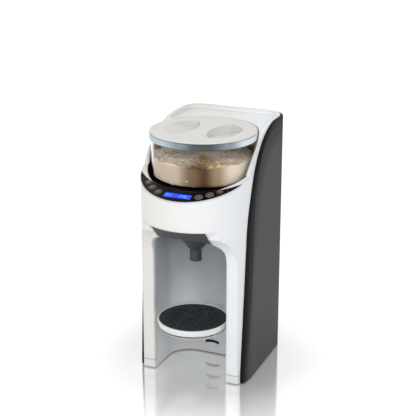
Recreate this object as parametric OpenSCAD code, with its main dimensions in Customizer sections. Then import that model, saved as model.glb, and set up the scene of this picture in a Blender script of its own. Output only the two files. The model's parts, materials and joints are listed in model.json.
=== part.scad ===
// Countertop baby formula maker: a round-nosed housing with an open bottle bay,
// a lift-off powder container with a geared dosing wheel, a slide-out mixing
// funnel, a hook-in bottle stand and a water tank that pulls out of the back.
// Millimetres. The origin is on the table under the middle of the machine:
// +X is right seen from the front, -Y is the front and +Z is up.

/* [Housing] */
// Width of the white housing across its round nose
body_w = 172; // [164:1:184]
// Depth of the whole machine from nose to back
body_d = 240; // [236:1:256]
// Height of the back rim above the table
body_h = 391; // [388:1:400]
// Width of the white housing where its rear corners begin
rear_w = 164; // [156:1:168]
// Plan radius of the rear corners
rear_corner_r = 28; // [20:1:32]
// Wall thickness of the housing mouldings
wall = 2.6; // [2.2:0.1:3.2]
// How far the dark side covers stand out from the white housing
cover_proud = 4.5; // [3.5:0.5:5.5]
// Height at which the round nose ends above the bottle bay
nose_z = 256; // [250:1:260]
// Height of the slope under the nose
chin_h = 25; // [18:1:27]
// How far that slope runs back
chin_d = 20; // [14:1:24]
// Height of the base band, feet included
base_h = 14.5; // [12:0.5:18]
// Height of the rubber feet
foot_h = 2; // [1.5:0.5:4]

/* [Bottle bay] */
// Width of the bottle bay between the front pillars
bay_w = 121; // [115:1:126]
// Distance of the pillars' front faces behind the nose
pillar_set_back = 54; // [50:1:60]
// Depth of the bay behind the pillars' front faces
bay_d = 87; // [80:1:90]
// Height of the bay's ceiling above the table
bay_z = 228; // [222:1:229]
// Plan radius of the bay's back corners
bay_corner_r = 36; // [28:1:42]
// Radius of the arch corners in the front opening
arch_r = 20; // [12:1:26]
// Thickness of the bay lining
liner_t = 2; // [1.6:0.1:2.4]

/* [Powder container] */
// Outside diameter of the container's rim band and lid
container_d = 162; // [154:1:164]
// Distance of the container's axis behind the nose
container_set_back = 105; // [103:1:108]
// Height of the container's underside above the table
container_z = 312; // [308:1:314]
// Height of the lid's top face above the table
lid_z = 384; // [381:1:386]
// Wall of the clear container
container_wall = 2.2; // [1.8:0.1:2.8]
// Height of the silver band under the lid
band_h = 9; // [7:0.5:11]

/* [Dosing drive] */
// Radius of the dosing wheel that carries the powder pockets
dosing_r = 66; // [60:1:68]
// Radius at which the pockets pass over the outlet
outlet_r = 43; // [42:1:46]
// Number of powder pockets in the dosing wheel
pocket_count = 8; // [6:1:10]
// Diameter of one powder pocket
pocket_d = 17; // [13:1:20]
// Tooth size of the drive gears
gear_module = 1.5; // [1.4:0.1:1.6]
// Number of teeth on the driven gear
gear_teeth = 40; // [38:1:42]
// Number of teeth on the motor pinion
pinion_teeth = 12; // [10:1:14]

/* [Funnel and stand] */
// Width of the notch that holds the funnel carrier
notch_w = 87.4; // [80:0.2:92]
// Distance of the funnel's axis behind the nose
funnel_set_back = 77; // [72:1:80]
// Outside diameter of the funnel's cone at the top
cone_d = 58; // [50:1:62]
// Outside diameter of the spout
spout_d = 18; // [15:1:20]
// Height of the spout's tip above the table
spout_z = 186; // [180:1:196]
// Diameter of the bottle stand
stand_d = 110.6; // [104:0.2:112]
// Distance of the stand's centre behind the nose
stand_set_back = 66.5; // [64:0.5:70]
// Height of the stand's top face above the table
stand_z = 95; // [90:1:100]
// Depth of the stand's tray
stand_h = 15.5; // [12:0.5:18]

/* [Water side] */
// Width of the water tank
tank_w = 132; // [120:1:136]
// Height of the water tank
tank_h = 240; // [200:1:240]

/* [Control panel] */
// Slope of the control ledge in degrees
ledge_slope = 18; // [14:1:20]
// Height of the ledge's front edge above the table
ledge_z = 301.5; // [300:0.5:304]
// Diameter of the larger push buttons
button_d = 12; // [9:0.5:12.5]
// Travel of a push button
button_travel = 0.8; // [0.5:0.1:1]
// Width of the display window
display_w = 42; // [36:1:46]

/* [Hidden] */
$fn = 96;
gap = 0.4;
eps = 0.01;
nose_r = body_w / 2;
front_y = -body_d / 2;
back_y = body_d / 2;
nose_y = front_y + nose_r;
pillar_y = front_y + pillar_set_back;
bay_back_y = pillar_y + bay_d;
axis_y = front_y + container_set_back;
container_r = container_d / 2;
recess_r = container_r + 1.6;
rear_c = [rear_w / 2 - rear_corner_r, back_y - cover_proud - rear_corner_r];
side_normal = atan2(rear_c[1] - nose_y, rear_c[0])
    - acos((nose_r - rear_corner_r) / norm([rear_c[0], rear_c[1] - nose_y]));
liner_y = pillar_y + 9;
bulkhead_y = bay_back_y + 36;
tank_y = bulkhead_y + wall + 1.4;
tank_d = back_y - cover_proud - tank_y;
tank_z = 54;
well_y = tank_y + tank_d / 2;
hollow_top = ledge_z - 5.5;
platform_t = 3;
platform_z = container_z - platform_t;
channel_top = nose_z - 1;
chamber_z = channel_top + wall;
band_z = lid_z - 3 - band_h;
funnel_y = front_y + funnel_set_back;
carrier_z = nose_z - chin_h;
stand_y = front_y + stand_set_back;
slot_w = 24;
slot_h = 5;
slot_pitch = 21;
slot_z = stand_z - stand_h + 3;
slot_count = 4;
gear_r = gear_module * gear_teeth / 2;
pinion_r = gear_module * pinion_teeth / 2;
gear_z = platform_z - 13;
gear_t = 8;
pinion_y = axis_y + gear_r + pinion_r;
outlet_y = axis_y - outlet_r;
chute_r = pocket_d / 2 + 0.6;
dog_d = 13;
wheel_z = container_z + container_wall + 0.4;
wheel_t = 8;
nozzle = [-17, funnel_y + 14];
rail_w = 1.6;
rail_t = 2;
rail_z = carrier_z + 13;

// Points of a cubic curve through p0 and p3 with handles p1 and p2
function curve(p0, p1, p2, p3, n) = [for (i = [0:n]) let (t = i / n, s = 1 - t)
    s * s * s * p0 + 3 * s * s * t * p1 + 3 * s * t * t * p2 + t * t * t * p3];

// Height of the control ledge at a distance y
function ledge_at(y) = ledge_z + (y - front_y) * tan(ledge_slope);

// Side view of the dark covers' front edge, from the table to the back rim
cover_foot = [pillar_y + 3, base_h];
cover_hip = [nose_y - 17, ledge_z - 64.5];
cover_edge = curve(cover_hip, cover_hip + [7, 83], [nose_y + 24, body_h - 11],
    [nose_y + 94, body_h - 2], 24);

// Side view of the white housing's upper edge beside the container
rim_start = [nose_y - 7, ledge_at(nose_y - 7)];
rim_edge = curve(rim_start, rim_start + [11, 24], [nose_y + 34, body_h - 7],
    [nose_y + 92, body_h - 1.5], 20);

// ---------------------------------------------------------------- helpers

// Extrudes a side view, drawn as (y, z), across the machine
module across(width) {
    rotate([90, 0, 90]) linear_extrude(width, center = true) children();
}

// Extrudes a front view, drawn as (x, z), from y0 backwards
module backwards(y0, depth) {
    translate([0, y0 + depth, 0]) rotate([90, 0, 0]) linear_extrude(depth) children();
}

// Places a thing on the control ledge, with +Z square to the ledge
module on_ledge(x, y) {
    translate([x, y, ledge_at(y)]) rotate([ledge_slope, 0, 0]) children();
}

// A layer of the control ledge, from a height above its surface down to a depth
module ledge_layer(depth, above = 0) {
    translate([0, front_y, ledge_z]) rotate([ledge_slope, 0, 0])
        translate([-body_w, -20, -depth]) cube([2 * body_w, body_d, depth + above]);
}

// Plan of the housing, grown outwards by a distance; the sides cut the rounds a hair inside the tangent
module plan(grow = 0) {
    n = [cos(side_normal), sin(side_normal)];
    hair = 0.06;
    a = [0, nose_y] + (nose_r + grow - hair) * n;
    b = rear_c + (rear_corner_r + grow - hair) * n;
    back = rear_c[1] + rear_corner_r + grow - hair / 3;
    translate([0, nose_y]) circle(nose_r + grow);
    for (s = [-1, 1]) translate([s * rear_c[0], rear_c[1]]) circle(rear_corner_r + grow);
    polygon([a, b, [rear_c[0], back], [-rear_c[0], back], [-b[0], b[1]], [-a[0], a[1]]]);
}

// Plan of the bottle bay, grown outwards by a distance
module bay_plan(grow = 0) {
    w = bay_w / 2 + grow;
    r = bay_corner_r + grow;
    corner_y = bay_back_y - bay_corner_r;
    translate([-w, front_y - 10]) square([2 * w, corner_y - front_y + 10]);
    for (s = [-1, 1]) translate([s * (w - r), corner_y]) circle(r);
    translate([-(w - r), corner_y]) square([2 * (w - r), r]);
}

// Front view of the bay's arch, grown outwards by a distance
module arch(grow = 0) {
    w = bay_w / 2 + grow;
    r = arch_r + grow;
    top = bay_z + grow;
    translate([-w, -1]) square([2 * w, top - r + 1]);
    for (s = [-1, 1]) translate([s * (w - r), top - r]) circle(r);
    translate([-(w - r), 0]) square([2 * (w - r), top]);
}

// The open space of the bottle bay, grown outwards by a distance
module bay_space(grow = 0) {
    intersection() {
        linear_extrude(bay_z + grow) bay_plan(grow);
        backwards(front_y - 10, body_d) arch(grow);
    }
}

// The housing's whole outer form below its upper edge, grown by a distance
module housing_form(grow = 0) {
    chin = chin_h + grow;
    rim = nose_r + grow * norm([chin_h, chin_d]) / chin_h;
    flare_r = 60;
    flare_z = nose_z - 66;
    flare_d = flare_r / 2;
    translate([0, 0, nose_z]) linear_extrude(body_h - nose_z + 1) plan(grow);
    translate([0, nose_y, nose_z]) rotate_extrude() polygon([[0, -chin],
        [rim - chin * chin_d / chin_h, -chin], [rim, 0], [rim, eps], [0, eps]]);
    intersection() {
        translate([0, 0, base_h]) linear_extrude(nose_z - base_h + eps) plan(grow);
        union() {
            across(body_w + 20) translate([pillar_y - grow, -1]) square([body_d, nose_z + 2]);
            // long hollow sweep from the pillars' fronts up to the nose
            difference() {
                across(body_w + 20) translate([pillar_y - grow - flare_d, flare_z])
                    square([flare_d + 9, nose_z + 1 - flare_z]);
                translate([0, pillar_y - grow - flare_r, flare_z]) rotate([0, 90, 0])
                    cylinder(2 * body_w, r = flare_r + eps, center = true, $fn = 240);
            }
        }
    }
}

// Everything below the white housing's upper edge, across the machine
module below_rim() {
    across(2 * body_w) polygon(concat([[front_y - 9, -1], [front_y - 9, ledge_at(front_y - 9)]],
        rim_edge, [[back_y - cover_proud - wall, body_h], [back_y + 9, body_h], [back_y + 9, -1]]));
}

// A spur gear's outline with involute flanks
module gear_outline(teeth) {
    m = gear_module;
    pitch = m * teeth / 2;
    base = pitch * cos(20);
    tip = pitch + 0.85 * m;
    root = pitch - 1.2 * m;
    half = 90 / teeth - 0.12 / pitch * 180 / PI + (tan(20) - 20 * PI / 180) * 180 / PI;
    steps = 5;
    top = sqrt(pow(tip / base, 2) - 1);
    flank = [for (i = [0:steps]) let (t = top * i / steps)
        [base * sqrt(1 + t * t), half - (t * 180 / PI - atan(t))]];
    polygon([for (k = [0:teeth - 1]) let (c = k * 360 / teeth) each concat(
        [[root * cos(c - half), root * sin(c - half)]],
        [for (p = flank) [p[0] * cos(c - p[1]), p[0] * sin(c - p[1])]],
        [for (i = [steps:-1:0]) let (p = flank[i]) [p[0] * cos(c + p[1]), p[0] * sin(c + p[1])]],
        [[root * cos(c + half), root * sin(c + half)]])]);
}

// A round tube along a path, as rings joined by triangles
module tube(path, r, sides) {
    n = len(path);
    tangent = [for (i = [0:n - 1]) let (d = path[min(i + 1, n - 1)] - path[max(i - 1, 0)]) d / norm(d)];
    ref = [for (t = tangent) abs(t[0]) < 0.8 ? [1, 0, 0] : [0, 0, 1]];
    rings = [for (i = [0:n - 1]) let (u0 = cross(tangent[i], ref[i]), u = u0 / norm(u0),
        v = cross(tangent[i], u)) each [for (k = [0:sides - 1])
        path[i] + r * (cos(k * 360 / sides) * u + sin(k * 360 / sides) * v)]];
    polyhedron(rings, concat(
        [[for (k = [sides - 1:-1:0]) k]],
        [for (i = [0:n - 2], k = [0:sides - 1]) let (a = i * sides + k, b = i * sides + (k + 1) % sides)
            each [[a, b, b + sides], [a, b + sides, a + sides]]],
        [[for (k = [0:sides - 1]) (n - 1) * sides + k]]));
}

// ---------------------------------------------------------------- housing

// Four rubber pads under the base
module rubber_feet() {
    foot_r = 7.2;
    color("#2b2b2c") for (s = [-1, 1], p = [[nose_r - 16, nose_y + 4], [rear_w / 2 - 24, back_y - 24]])
        translate([s * p[0], p[1]]) cylinder(foot_h, r1 = foot_r - 0.8, r2 = foot_r);
}

// White band under the housing, with the bay cut out of it
module base_band() {
    floor_t = 2.4;
    color("#eceded") difference() {
        intersection() {
            translate([0, 0, foot_h]) linear_extrude(base_h - foot_h) difference() {
                plan();
                bay_plan();
            }
            across(2 * body_w) translate([pillar_y, 0]) square([body_d, base_h]);
        }
        intersection() {
            translate([0, 0, foot_h + floor_t]) linear_extrude(base_h) difference() {
                plan(-wall);
                bay_plan(wall);
            }
            across(2 * body_w) translate([pillar_y + wall, 0]) square([body_d, base_h + 1]);
        }
        for (p = screw_places) translate([p[0], p[1], 0]) cylinder(base_h, r = 1.8);
    }
}

// White nose, pillars, side rims and deck, moulded in one piece
module front_shell() {
    ring_ledge = 6;
    deck_z = lid_z;
    rim_w = 7;
    color("#eef0f1") difference() {
        intersection() {
            housing_form();
            below_rim();
        }
        // gear chamber in the nose
        intersection() {
            translate([0, 0, chamber_z]) linear_extrude(hollow_top - chamber_z) plan(-wall);
            housing_form(-wall);
            across(body_w) translate([front_y, 0]) square([bulkhead_y - front_y, body_h]);
        }
        // space behind and beside the bay, behind a lip around its mouth
        difference() {
            intersection() {
                translate([0, 0, base_h - 1]) linear_extrude(bay_z + liner_t + gap - base_h + 1) plan(-wall);
                across(body_w) translate([pillar_y + wall, 0]) square([body_d, body_h]);
            }
            intersection() {
                bay_space(wall);
                across(body_w) translate([front_y, 0]) square([liner_y - front_y, body_h]);
            }
        }
        intersection() {
            translate([0, 0, bay_z]) linear_extrude(chamber_z + 1 - bay_z) plan(-wall);
            across(body_w) translate([funnel_y + 38 + wall, 0]) square([body_d, body_h]);
        }
        translate([nozzle[0], nozzle[1], channel_top - 1]) cylinder(9, r = 3.3);
        // everything behind the bulkhead, below the deck
        difference() {
            intersection() {
                translate([0, 0, base_h - 1]) linear_extrude(deck_z - wall - base_h + 1) plan(-wall);
                across(body_w) translate([30, 0]) square([body_d, body_h]);
            }
            translate([0, axis_y, hollow_top]) cylinder(body_h, r = recess_r + wall);
        }
        difference() {
            across(2 * body_w) translate([bulkhead_y + 4, -1]) square([body_d, deck_z - wall - 2]);
            translate([0, axis_y, hollow_top]) cylinder(body_h, r = recess_r + wall);
        }
        // recess for the powder container, with a seat for the platform
        translate([0, axis_y, platform_z]) cylinder(body_h, r = recess_r);
        translate([0, axis_y, hollow_top - 9]) cylinder(body_h, r = recess_r - ring_ledge);
        // bottle bay and its lining
        bay_space();
        intersection() {
            bay_space(liner_t + 0.02);
            across(body_w) translate([liner_y, 0]) square([body_d, body_h]);
        }
        // notch and slide-way of the funnel carrier
        translate([-notch_w / 2, front_y - 5, carrier_z - 5])
            cube([notch_w, funnel_y + 38 - front_y + 5 + eps, channel_top - carrier_z + 5]);
        translate([0, outlet_y, carrier_z]) cylinder(60, r = chute_r + 2.2);
        // dished deck
        intersection() {
            translate([0, 0, deck_z]) linear_extrude(body_h) plan(-rim_w);
            across(body_w) translate([axis_y + 40, 0]) square([body_d, body_h + 9]);
        }
        // pocket for the control panel, and wells for its buttons
        intersection() {
            ledge_layer(panel_t, 9);
            translate([0, 0, ledge_z - 20]) linear_extrude(90) crescent(0.15);
        }
        for (k = [0:5]) on_ledge(button_places[k][0], button_places[k][1]) {
            translate([0, 0, -panel_t - 3]) cylinder(9, r = button_sizes[k] + 0.5);
            translate([0, 0, -30]) cylinder(30, r = 2.6);
        }
    }
    // rails that carry the funnel carrier
    color("#eef0f1") for (s = [-1, 1])
        translate([s * (notch_w / 2 - rail_w / 2 + 0.3), funnel_y + 6, rail_z])
            cube([rail_w + 0.6, 62, rail_t], center = true);
    // posts under the circuit board
    color("#eef0f1") for (a = [-46.7, -14, 14, 46.7])
        translate([(nose_r - 20) * sin(a), nose_y - (nose_r - 20) * cos(a), chamber_z - 0.5])
            cylinder(board_z - chamber_z + 0.5, r = 3);
}

// Grey-white lining of the bottle bay, with slots for the stand
module bay_liner() {
    color("#d5d8db") difference() {
        bay_space(liner_t);
        bay_space();
        across(body_w * 2) translate([front_y - 20, -1]) square([liner_y + 0.05 - front_y + 20, bay_z + 9]);
        translate([-body_w, front_y, -1]) cube([2 * body_w, body_d, base_h + 1]);
        translate([-notch_w / 2, front_y, bay_z - 1]) cube([notch_w, funnel_y + 38 - front_y, 9]);
        for (k = [0:slot_count - 1]) stand_slot(slot_z - k * slot_pitch, slot_w, slot_h);
    }
}

// One arched slot in the bay's back wall
module stand_slot(z, w, h) {
    rise = 2.2;
    bow = (w * w / 4 + rise * rise) / (2 * rise);
    backwards(bay_back_y - 4, liner_t + 8) intersection() {
        translate([-w / 2, z - rise]) square([w, h + rise + 1]);
        difference() {
            translate([0, z + h - bow]) circle(bow, $fn = 160);
            translate([0, z - bow]) circle(bow, $fn = 160);
        }
    }
}

// Points around the covers' region, from the side
cover_points = concat([cover_foot - [0.4, 600], cover_foot], cover_edge,
    [[back_y + 600, body_h], [back_y + 600, -600]]);

// Region behind the covers' front edge; a lean about Z eases that edge
module cover_region(lean, pivot, shift) {
    translate([pivot, 0, 0]) rotate([0, 0, lean]) across(9 * body_w)
        polygon([for (p = cover_points) [(p[0] + shift) * cos(lean), p[1]]]);
}

// The same region with a lean outwards and down, which eases the top edge
module cover_top_region(lean, pivot, drop) {
    translate([0, nose_y, 0]) rotate([0, 0, side_normal]) translate([pivot, -nose_y, 0])
        rotate([0, lean, 0]) across(9 * body_w)
            polygon([for (p = cover_points) [p[0], (p[1] - drop) * cos(lean)]]);
}

// Dark right cover, proud of the housing, with an eased front edge
module side_cover() {
    color("#3a3a39") intersection() {
        difference() {
            translate([0, 0, foot_h]) linear_extrude(body_h - foot_h) difference() {
                plan(cover_proud);
                plan(0.1);
            }
            translate([-body_w, front_y, -1]) cube([body_w + tank_w / 2 + 1.6, 2 * body_d, 2 * body_h]);
        }
        cover_region(0, 0, 0);
        cover_region(66, nose_r - 0.9, 0);
        cover_region(80, nose_r + cover_proud - 1.8, (cover_proud - 0.9) * tan(66) - 0.7);
        cover_top_region(50, nose_r + 0.6, 0);
        cover_top_region(76, nose_r + cover_proud - 1.5, (cover_proud - 2.1) * tan(50) - 0.4);
    }
}
module right_side_cover() { side_cover(); }
module left_side_cover() { mirror([1, 0, 0]) side_cover(); }

// Dark frame at the back with the tank's compartment and the back's top edge
module rear_frame() {
    room = 1.2;
    top = lid_z - wall - 0.2;
    strip_z = tank_z + tank_h + 14;
    color("#3d3e3d") {
        frame_box(room, top);
        // strip across the back above the tank, up to the back rim
        back_strip(strip_z, body_h - 2, 0.1, cover_proud, tank_w / 2 + 1.5);
        back_strip(strip_z, top - 3, -wall, 0, tank_w / 2 + room + wall - 0.2);
        back_strip(strip_z, top - 3, -0.5, 0.2, tank_w / 2 + 1.5);
    }
}

// A strip along the back between two outlines of the plan
module back_strip(z0, z1, inner, outer, half_w) {
    translate([0, 0, z0]) linear_extrude(z1 - z0) intersection() {
        difference() {
            plan(outer);
            plan(inner);
        }
        translate([-half_w, 0]) square([2 * half_w, body_d]);
    }
}

// The frame's box with its compartment and hollows
module frame_box(room, top) {
    difference() {
        translate([0, 0, base_h]) linear_extrude(top - base_h) intersection() {
            plan(-0.1);
            translate([-body_w, bulkhead_y]) square([2 * body_w, body_d]);
        }
        // the front shell reaches a little behind the bulkhead
        translate([0, 0, base_h - 1]) linear_extrude(body_h) intersection() {
            difference() {
                plan(1);
                plan(-wall - 0.1);
            }
            translate([-body_w, bulkhead_y - 1]) square([2 * body_w, 5.1]);
        }
        translate([0, 0, top - 3]) linear_extrude(9) difference() {
            plan(1);
            plan(-wall - 0.1);
        }
        // room for the powder container's recess
        translate([0, axis_y, hollow_top - 1]) cylinder(body_h, r = recess_r + wall + 0.3);
        // tank compartment, open at the back
        translate([-tank_w / 2 - room, tank_y - 1, tank_z - 0.4])
            cube([tank_w + 2 * room, body_d, top - wall - tank_z + 0.4]);
        // hollow sides and service space under the tank
        for (s = [-1, 1]) translate([0, 0, base_h - 1]) linear_extrude(top - wall - base_h + 1)
            intersection() {
                plan(-wall);
                translate([s > 0 ? tank_w / 2 + room + wall : -body_w, bulkhead_y + 6])
                    square([body_w - tank_w / 2 - room - wall, body_d]);
            }
        translate([-tank_w / 2, bulkhead_y + wall, base_h - 1])
            cube([tank_w, back_y - cover_proud - bulkhead_y - 2 * wall, tank_z - wall - base_h + 1]);
        translate([inlet_x - 13.7, back_y - 20, inlet_z - 10.7]) cube([27.4, 40, 21.4]);
        translate([0, well_y, tank_z - 9]) cylinder(20, r = 11);
    }
}

// Screws that hold the base band
screw_places = [for (s = [-1, 1], p = [[nose_r - 10, nose_y - 10], [nose_r - 10, nose_y + 54],
    [rear_w / 2 - 20, back_y - 42]]) [s * p[0], p[1]]];
module screws() {
    color("#8a8c8e") for (p = screw_places) translate([p[0], p[1], foot_h + 0.6]) difference() {
        union() {
            cylinder(1.8, r1 = 1.7, r2 = 1.7);
            cylinder(9, r = 1.5);
        }
        translate([0, 0, -1]) cylinder(2, r = 0.9, $fn = 6);
    }
}

// ---------------------------------------------------------------- controls

panel_t = 2;
button_angles = [25, 37, 48.5];
button_ring = nose_r - 9.8;
button_places = [for (s = [1, -1], a = button_angles)
    [s * button_ring * sin(a), nose_y - button_ring * cos(a)]];
button_sizes = [for (k = [0:5]) (k % 3 == 2 ? 0.88 : 1) * button_d / 2];

// Plan of the black crescent around the container
module crescent(grow = 0) {
    inner_r = 112;
    difference() {
        translate([0, nose_y]) circle(nose_r - 0.7 + grow);
        translate([0, front_y + 25.5 + inner_r]) circle(inner_r - grow, $fn = 200);
        translate([0, axis_y]) circle(recess_r + 0.6 - grow);
    }
}

// Black control panel
module control_panel() {
    color("#15110f") difference() {
        intersection() {
            ledge_layer(panel_t - 0.02);
            translate([0, 0, ledge_z - 20]) linear_extrude(90) crescent();
        }
        display_block(0.1, 1.3);
        for (k = [0:5]) on_ledge(button_places[k][0], button_places[k][1])
            translate([0, 0, -5]) cylinder(9, r = button_sizes[k] + 0.3);
    }
}

// The display's slab, grown by a distance and sunk to a depth
module display_block(grow, depth) {
    on_ledge(0, front_y + 14) translate([0, 0, -depth])
        linear_extrude(depth + grow * 9)
            square([display_w + 2 * grow, 10.4 + 2 * grow], center = true);
}

// Blue display window, flush with the panel
module display() {
    color("#2a4cf2") display_block(0, 1.2);
}

// One push button with its domed cap and stem
module push_button(k) {
    p = button_places[k];
    r = button_sizes[k];
    dome_h = 0.7;
    dome_r = (r * r + dome_h * dome_h) / (2 * dome_h);
    color("#3c3835") on_ledge(p[0], p[1]) {
        translate([0, 0, -2.4]) cylinder(3.0, r = r);
        translate([0, 0, 0.6]) intersection() {
            translate([0, 0, dome_h + 0.1 - dome_r]) rotate([90, 0, 0]) sphere(dome_r);
            cylinder(2, r = r);
        }
        translate([0, 0, -stem_l]) cylinder(stem_l - 2.3, r = 1.8);
    }
}
module button_start() { push_button(0); }
module button_water() { push_button(1); }
module button_power() { push_button(2); }
module button_left_1() { push_button(3); }
module button_left_2() { push_button(4); }
module button_left_3() { push_button(5); }

// Circuit board under the ledge, with a switch under each button's stem
board_z = hollow_top - 14;
stem_l = 8;
module circuit_board() {
    start = stem_l + button_travel + 0.4;
    for (p = button_places) let (reach = (ledge_at(p[1]) - board_z - 1) / cos(ledge_slope))
        color("#2b2b2c") on_ledge(p[0], p[1]) {
            translate([0, 0, -reach]) cylinder(reach - start, r = 1.5);
            translate([0, 0, -reach]) cylinder(5, r = 2.4);
        }
    color("#2c5a3a") {
        translate([0, 0, board_z]) linear_extrude(1.6) intersection() {
            plan(-wall - 2);
            difference() {
                translate([-70, front_y]) square([140, 49]);
                translate([0, outlet_y]) circle(chute_r + 6);
            }
        }
        for (x = [-30:15:30]) translate([x - 4, front_y + 22, board_z + 1.6]) cube([8, 6, 2]);
    }
}

// ---------------------------------------------------------------- container

// Clear powder container, open at the top, with an outlet in its floor
module powder_container() {
    top_r = container_r - 1.7;
    low_r = container_r - 3.6;
    inner_r = top_r - container_wall - 0.8;
    h = band_z - container_z;
    bend = 7;
    // lugs that carry the outlet plate
    color("#c8b8a4", 0.5) for (a = [-14, 14]) translate([0, axis_y, container_z + 1]) rotate(a)
        translate([-2.5, -low_r + 1.6, 0]) cube([5, 5.4, plate_z - container_z - 1]);
    color("#c8b8a4", 0.5) difference() {
        translate([0, axis_y, container_z]) rotate_extrude() difference() {
            union() {
                polygon([[0, 0], [low_r - bend, 0], [low_r, bend], [top_r, h], [top_r - 1.5, h],
                    [top_r - 1.5, h + 5], [0, h + 5]]);
                translate([low_r - bend, bend]) circle(bend);
            }
            polygon([[-1, container_wall], [low_r - bend, container_wall], [low_r - container_wall, bend],
                [inner_r, h], [inner_r, h + 9], [-1, h + 9]]);
            translate([low_r - bend, bend]) circle(bend - container_wall);
        }
        translate([0, axis_y, container_z - 1]) cylinder(9, r = 9.4);
        translate([0, outlet_y, container_z - 1]) cylinder(9, r = pocket_d / 2);
    }
}

// Silver band that closes the container's rim
module container_band() {
    seat_r = container_r - 3.2;
    color("#b9c6cd") difference() {
        translate([0, axis_y, band_z]) rotate_extrude() polygon([[seat_r - 1.7, 5], [seat_r, 5],
            [seat_r, 0], [container_r - 0.4, 0], [container_r, 0.4], [container_r, band_h - 0.2],
            [container_r - 0.4, band_h], [seat_r - 1.7, band_h]]);
        // index mark
        translate([0, axis_y, band_z + band_h / 2]) rotate([90, 0, 27])
            translate([0, 0, container_r - 0.4]) cylinder(4, r = 1.3, $fn = 3);
    }
}

// One finger scoop of the lid, grown by a distance
module scoop(side, grow = 0) {
    bar = 12;
    lens_r = 70;
    trough_r = 50 + grow;
    translate([0, axis_y, 0]) mirror([side < 0 ? 1 : 0, 0, 0]) intersection() {
        translate([bar + lens_r, 0, lid_z - 24]) cylinder(40, r = lens_r + grow, $fn = 200);
        translate([bar, 0, lid_z - 24]) cylinder(40, r = 47 + grow, $fn = 120);
        translate([bar + 12, 0, lid_z + trough_r - grow - 13]) rotate([90, 0, 0])
            cylinder(200, r = trough_r, center = true, $fn = 160);
    }
}

// White lid with a grip bar between two scoops
module container_lid() {
    plug_r = container_r - 5.4;
    base_z = band_z + band_h;
    plug_h = 8;
    color("#e4e3df") difference() {
        union() {
            translate([0, axis_y, base_z]) rotate_extrude() polygon([[0, 0.3], [container_r - 0.9, 0.3],
                [container_r - 0.3, 0.9], [container_r - 0.3, lid_z - base_z - 0.9],
                [container_r - 1.2, lid_z - base_z],
                [0, lid_z - base_z]]);
            translate([0, axis_y, base_z - plug_h]) difference() {
                cylinder(plug_h + 1, r = plug_r);
                translate([0, 0, -1]) cylinder(plug_h + 1.3, r = plug_r - 2);
            }
            for (s = [-1, 1]) intersection() {
                scoop(s, 2);
                translate([0, axis_y, lid_z - 24]) cylinder(24 - 1, r = plug_r - 1);
            }
        }
        for (s = [-1, 1]) scoop(s);
    }
}

// Dosing wheel with powder pockets and a hub that takes the drive dog
module dosing_wheel() {
    hub_r = 12;
    color("#e9e6df") difference() {
        union() {
            translate([0, axis_y, wheel_z]) cylinder(wheel_t, r = dosing_r);
            translate([0, axis_y, container_z + 0.3]) cylinder(wheel_z - container_z, r = 9);
            translate([0, axis_y, wheel_z + wheel_t - eps]) cylinder(6, r = hub_r);
            for (k = [0:35]) translate([0, axis_y, wheel_z + 1]) rotate(k * 10)
                translate([dosing_r - 1, -1.4, 0]) cube([2.4, 2.8, wheel_t - 2]);
        }
        for (k = [0:pocket_count - 1]) translate([0, axis_y, 0]) rotate(k * 360 / pocket_count)
            translate([0, -outlet_r, wheel_z - 1]) cylinder(wheel_t + 2, r = pocket_d / 2 - 0.4);
        translate([0, axis_y, container_z - 1]) cylinder(15, r = dog_d / 2 + 0.3, $fn = 6);
    }
}

// Stirrer with four swept arms on the dosing wheel's hub
module stirrer() {
    hub_z = wheel_z + wheel_t + 6;
    color("#d9dcdc") {
        translate([0, axis_y, hub_z]) difference() {
            cylinder(12, r = 10);
            translate([0, 0, -1]) cylinder(7, r = 3);
        }
        for (k = [0:3]) translate([0, axis_y, hub_z + 2]) rotate(45 + k * 90) {
            translate([8, -2.5, 0]) cube([54, 5, 3]);
            translate([58, -2.5, 0]) cube([4, 5, 20]);
            translate([30, -1.5, 0]) cube([3, 3, 14]);
        }
    }
}

// Plate over the outlet that levels the pockets
plate_z = wheel_z + wheel_t + 0.5;
module outlet_plate() {
    inner_r = container_r - 3.6 - container_wall - 0.3;
    color("#cfd3d4") translate([0, axis_y, 0]) difference() {
        union() {
            translate([0, 0, plate_z]) intersection() {
                difference() {
                    cylinder(2, r = inner_r - 0.2);
                    translate([0, 0, -1]) cylinder(4, r = outlet_r - 15);
                }
                translate([-26, -container_r, -1]) cube([52, container_r - 20, 5]);
            }
            translate([-9, -inner_r + 0.1, plate_z]) cube([18, 3, 1.8]);
        }
    }
}

// Platform under the container with the drive's bush and the powder chute
module container_platform() {
    color("#1a1716") difference() {
        union() {
            translate([0, axis_y, platform_z]) cylinder(platform_t, r = recess_r - 0.2);
            translate([0, axis_y, platform_z - 4]) cylinder(5, r = 9);
            translate([0, outlet_y, channel_top + 0.1]) cylinder(platform_z - channel_top, r = chute_r + 2);
            // posts that hold the gear motor
            for (s = [-1, 1]) translate([s * 19, pinion_y, gear_z - 6])
                cylinder(platform_z - gear_z + 6.5, r = 3.6);
        }
        translate([0, axis_y, platform_z - 9]) cylinder(20, r = 5.05);
        translate([0, outlet_y, channel_top - 1]) cylinder(80, r = chute_r);
    }
}

// ---------------------------------------------------------------- drive

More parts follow.
